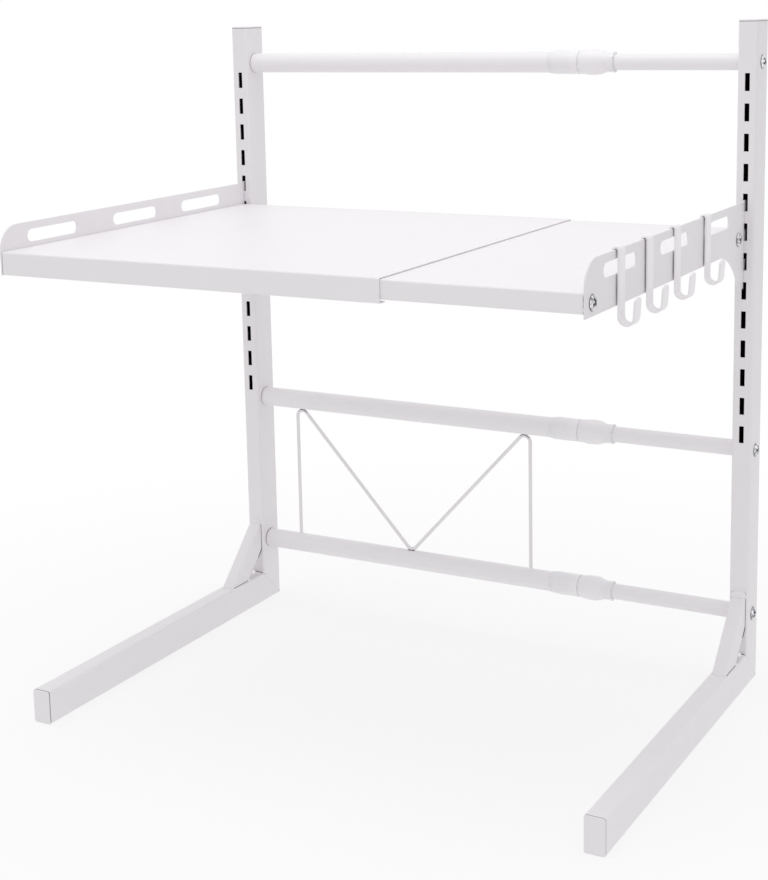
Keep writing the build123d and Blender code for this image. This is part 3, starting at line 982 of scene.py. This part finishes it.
# The floor glows, so that it looks pale. Its share of glow grows with the distance from the object
# where it is looked at, and is smaller where it isn't. There its strength falls with the distance.
floor_half = 12.0
glow_share = {"From Min": 0.35, "From Max": 1.1, "To Min": 0.7, "To Max": 1.0}
glow_strength = {"From Min": 0.5, "From Max": 1.3, "To Min": 1.12, "To Max": 0.76}
unseen_share = 0.5
unseen_floor = "#DFDFDF"
seen_floor = "#FAFAFA"
white = (1.0, 1.0, 1.0, 1.0)


def soft_light(name, place, size, watts, target):
    """A square soft lamp that faces a point."""
    data = bpy.data.lights.new(name, "AREA")
    data.size = size
    data.energy = watts
    lamp = bpy.data.objects.new(name, data)
    bpy.context.scene.collection.objects.link(lamp)
    lamp.location = place
    way = Vector(target) - Vector(place)
    lamp.rotation_euler = way.to_track_quat("-Z", "Y").to_euler()


def seen_rays(tree):
    """1 for rays that see the background straight, in gloss or through something clear, else 0: the
    largest of the three."""
    rays = add(tree, "LightPath").outputs
    pair = {0: rays["Is Camera Ray"], 1: rays["Is Glossy Ray"]}
    straight = add(tree, "Math", pair, operation="MAXIMUM")
    pair = {0: straight.outputs[0], 1: rays["Is Transmission Ray"]}
    return add(tree, "Math", pair, operation="MAXIMUM").outputs[0]


def white_room(strength):
    """World light: soft and even on the object, plain white where it is seen."""
    world = bpy.data.worlds.new("white_room")
    bpy.context.scene.world = world
    world.use_nodes = True
    tree = world.node_tree
    tree.nodes.clear()
    light = add(tree, "MapRange", {"Value": seen_rays(tree), "To Min": strength, "To Max": 1.0})
    glow = add(tree, "Background", {"Color": white, "Strength": light.outputs["Result"]})
    output = add(tree, "OutputWorld")
    tree.links.new(glow.outputs["Background"], output.inputs["Surface"])


def pale_floor():
    """A wide white floor that keeps part of the object's shadow near its feet."""
    data = bpy.data.meshes.new("floor")
    corners = [(floor_half * x, floor_half * y, 0) for x, y in ((-1, -1), (1, -1), (1, 1), (-1, 1))]
    data.from_pydata(corners, [], [(0, 1, 2, 3)])
    floor = bpy.data.objects.new("floor", data)
    bpy.context.scene.collection.objects.link(floor)
    material, tree, output, place = new_material("pale_floor")
    distance = add(tree, "VectorMath", {0: place}, operation="LENGTH").outputs["Value"]
    smooth = {"interpolation_type": "SMOOTHSTEP"}
    fade = add(tree, "MapRange", {"Value": distance} | glow_share, **smooth).outputs["Result"]
    near = add(tree, "MapRange", {"Value": distance} | glow_strength, **smooth).outputs["Result"]
    seen = seen_rays(tree)
    more = add(tree, "Math", {0: fade, 1: unseen_share}, operation="SUBTRACT").outputs[0]
    share = add(tree, "Math", {0: more, 1: seen, 2: unseen_share}, operation="MULTIPLY_ADD")
    strength = add(tree, "MapRange", {"Value": seen, "To Min": near, "To Max": 1.0})
    paint = add(
        tree,
        "Mix",
        {
            "Factor": add(tree, "LightPath").outputs["Is Camera Ray"],
            mix_first: colour(unseen_floor),
            mix_second: colour(seen_floor),
        },
        data_type="RGBA",
    )
    matt = add(tree, "BsdfDiffuse", {"Color": paint.outputs[mix_result]})
    glow = add(tree, "Emission", {"Color": white, "Strength": strength.outputs["Result"]})
    blend = {0: share.outputs[0], 1: matt.outputs[0], 2: glow.outputs[0]}
    both = add(tree, "MixShader", blend)
    tree.links.new(both.outputs[0], output.inputs["Surface"])
    data.materials.append(material)


place_camera()
pale_floor()
white_room(room_strength)
soft_light("near_overhead", place=(0.0, -0.1, 1.9), size=1.3, watts=4.4, target=shelf_middle)
soft_light("far_overhead", place=(-0.6, -0.9, 8.0), size=5.0, watts=52.0, target=object_middle)
bpy.context.scene.view_settings.view_transform = "Standard"
